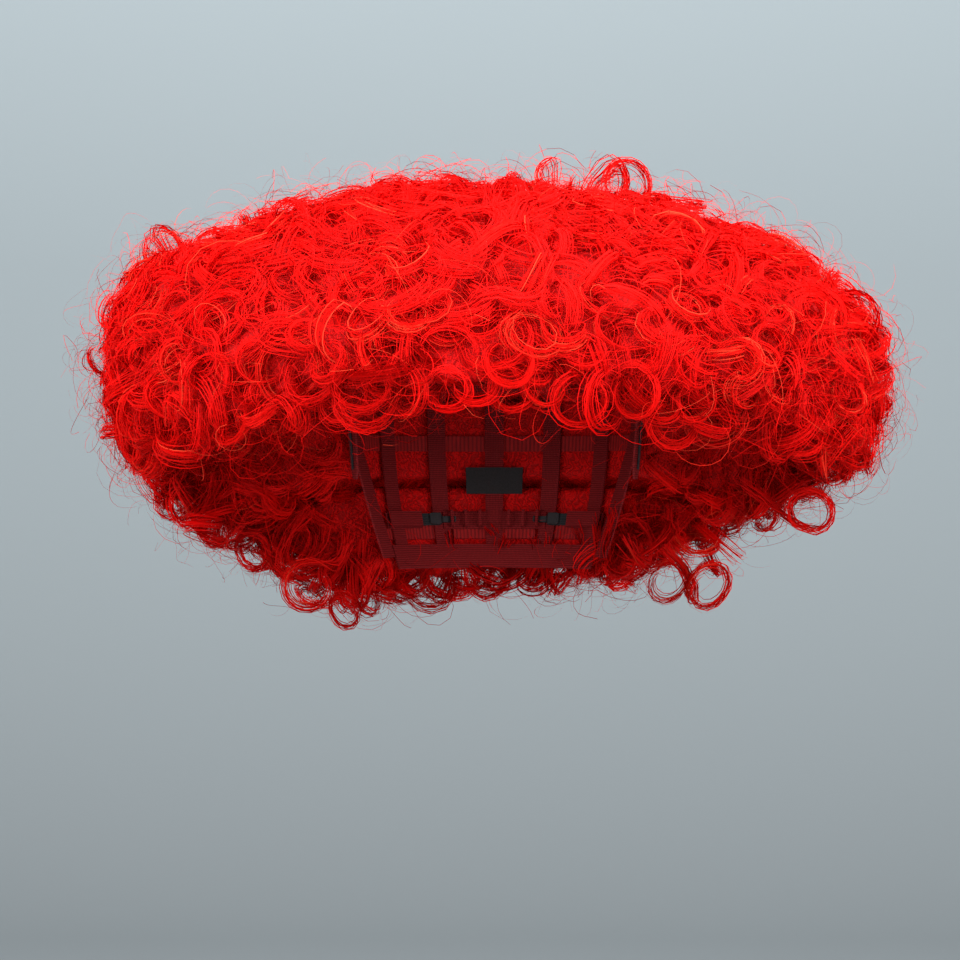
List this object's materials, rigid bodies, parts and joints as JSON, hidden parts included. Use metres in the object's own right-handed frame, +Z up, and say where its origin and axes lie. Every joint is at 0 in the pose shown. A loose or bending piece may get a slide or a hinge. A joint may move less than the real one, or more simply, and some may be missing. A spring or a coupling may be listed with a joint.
{
  "type": "curly afro costume wig",
  "caption": "Big curly costume wig on a stretch cap, with hooked nape adjusters that slide to fit the head and ear tabs that fold inwards.",
  "frame": {"origin": "centre of the wearer's head, level with the lower edge of the cap's front band", "axes": "+Z up through the crown, -Y towards the wearer's face, +X towards the wearer's left"},
  "size_m": [0.3984, 0.3543, 0.2207],
  "materials": {
    "curls": "satin",
    "weft_track": "matte",
    "net": "matte",
    "elastic": "matte",
    "adjuster_elastic": "matte",
    "plastic": "matte",
    "label": "matte"
  },
  "bodies": {
    "cap": {"back_centre_strap": "elastic", "crown_curls": "curls", "crown_net": "net", "crown_weft": "weft_track", "front_band": "elastic", "left_ear_band": "elastic", "left_loop_tape": "elastic", "left_strap_24": "elastic", "left_strap_48": "elastic", "left_strap_72": "elastic", "left_strap_casing": "elastic", "lower_back_curls": "curls", "lower_back_weft": "weft_track", "lower_left_curls": "curls", "lower_left_weft": "weft_track", "lower_right_curls": "curls", "lower_right_weft": "weft_track", "middle_back_curls": "curls", "middle_back_weft": "weft_track", "middle_front_curls": "curls", "middle_front_weft": "weft_track", "middle_left_curls": "curls", "middle_left_weft": "weft_track", "middle_right_curls": "curls", "middle_right_weft": "weft_track", "nape_band": "elastic", "nape_centre_curls": "curls", "nape_centre_weft": "weft_track", "nape_label": "label", "nape_left_curls": "curls", "nape_left_weft": "weft_track", "nape_right_curls": "curls", "nape_right_weft": "weft_track", "right_ear_band": "elastic", "right_loop_tape": "elastic", "right_strap_24": "elastic", "right_strap_48": "elastic", "right_strap_72": "elastic", "right_strap_casing": "elastic", "upper_back_curls": "curls", "upper_back_weft": "weft_track", "upper_front_curls": "curls", "upper_front_weft": "weft_track", "upper_left_curls": "curls", "upper_left_weft": "weft_track", "upper_right_curls": "curls", "upper_right_weft": "weft_track"},
    "left_adjuster": {"left_adjuster_strap": "adjuster_elastic", "left_adjuster_hook": "plastic"},
    "right_adjuster": {"right_adjuster_strap": "adjuster_elastic", "right_adjuster_hook": "plastic"},
    "left_tab": {"left_ear_tab": "elastic", "left_ear_stay": "plastic"},
    "right_tab": {"right_ear_tab": "elastic", "right_ear_stay": "plastic"}
  },
  "joints": [
    {"name": "left_adjuster_slide", "type": "hinge", "parent": "cap", "child": "left_adjuster", "pos_m": [0, 0.018, -0.062], "axis": [0, 0, 1], "range_deg": [0, 13.4]},
    {"name": "right_adjuster_slide", "type": "hinge", "parent": "cap", "child": "right_adjuster", "pos_m": [0, 0.018, -0.062], "axis": [0, 0, -1], "range_deg": [0, 13.4]},
    {"name": "left_tab_fold", "type": "hinge", "parent": "cap", "child": "left_tab", "pos_m": [0.07169, -0.01422, -0.00023], "axis": [0.1816, 0.9834, 0], "range_deg": [0, 25]},
    {"name": "right_tab_fold", "type": "hinge", "parent": "cap", "child": "right_tab", "pos_m": [-0.07169, -0.01422, -0.00023], "axis": [0.1816, -0.9834, 0], "range_deg": [0, 25]}
  ]
}
